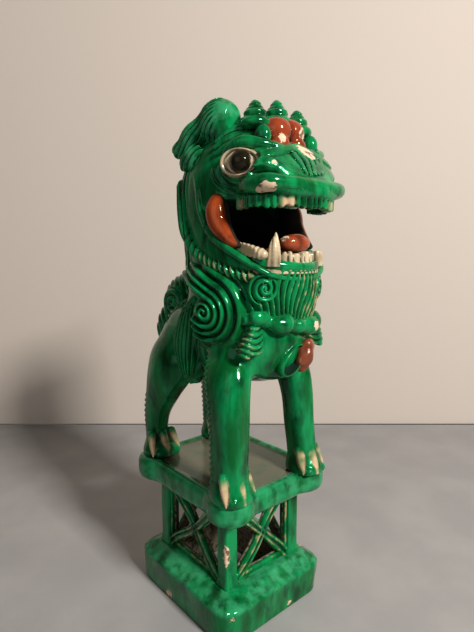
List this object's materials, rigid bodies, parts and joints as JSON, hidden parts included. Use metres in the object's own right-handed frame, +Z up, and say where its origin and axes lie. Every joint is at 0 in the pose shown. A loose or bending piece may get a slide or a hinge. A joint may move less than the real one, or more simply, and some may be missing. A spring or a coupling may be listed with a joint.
{
  "type": "foo dog statue",
  "caption": "Green-glazed pottery guardian lion with an open mouth and scrolled mane, standing on four legs on a pierced rectangular pedestal.",
  "frame": {"origin": "on the standing surface, under the middle of the figure's overall box", "axes": "+Z up; the lion looks along -Y, so its right side is at -X"},
  "size_m": [0.087, 0.145, 0.308],
  "materials": {
    "green_glaze": "glossy emerald-green lead glaze on fired clay, darker in the grooves and thin on the ridges",
    "plinth_glaze": "the same glossy green lead glaze on the pedestal, with bare buff clay inside and at chips",
    "amber_glaze": "glossy amber-orange lead glaze on fired clay",
    "cream_glaze": "thin clear straw-coloured glaze over pale fired clay",
    "black_glaze": "glossy near-black glaze on fired clay",
    "brown_clay": "matt red-brown slip on fired clay"
  },
  "bodies": {
    "root": {"beard": "green_glaze", "bell": "green_glaze", "bell_drop": "brown_clay", "brow_left": "green_glaze", "brow_right": "green_glaze", "cheek_lining_left": "amber_glaze", "cheek_lining_right": "amber_glaze", "collar": "green_glaze", "crest": "green_glaze", "ear_left": "green_glaze", "ear_right": "green_glaze", "eye_socket_left": "cream_glaze", "eye_socket_right": "cream_glaze", "eyeball_left": "black_glaze", "eyeball_right": "black_glaze", "fang_left": "cream_glaze", "fang_right": "cream_glaze", "flank_hair_left": "green_glaze", "flank_hair_right": "green_glaze", "head_shell": "green_glaze", "knob_left": "green_glaze", "knob_middle": "green_glaze", "knob_right": "green_glaze", "lattice_front": "plinth_glaze", "lattice_left": "plinth_glaze", "lattice_rear": "plinth_glaze", "lattice_right": "plinth_glaze", "leg_front_left": "green_glaze", "leg_front_right": "green_glaze", "leg_rear_left": "green_glaze", "leg_rear_right": "green_glaze", "lower_jaw": "green_glaze", "lower_teeth": "cream_glaze", "mane_curl_left": "green_glaze", "mane_curl_right": "green_glaze", "mane_ruff_left": "green_glaze", "mane_ruff_right": "green_glaze", "nape_curl": "green_glaze", "neck": "green_glaze", "nose": "amber_glaze", "paw_front_left": "green_glaze", "paw_front_right": "green_glaze", "paw_rear_left": "green_glaze", "paw_rear_right": "green_glaze", "plinth_base": "plinth_glaze", "plinth_top": "plinth_glaze", "post_front_left": "plinth_glaze", "post_front_right": "plinth_glaze", "post_rear_left": "plinth_glaze", "post_rear_right": "plinth_glaze", "shoulder_scroll_left": "green_glaze", "shoulder_scroll_right": "green_glaze", "tail": "green_glaze", "tassel_left": "green_glaze", "tassel_right": "green_glaze", "tongue": "amber_glaze", "torso": "green_glaze", "upper_jaw": "green_glaze", "upper_lip": "green_glaze", "upper_teeth": "cream_glaze"}
  },
  "joints": []
}
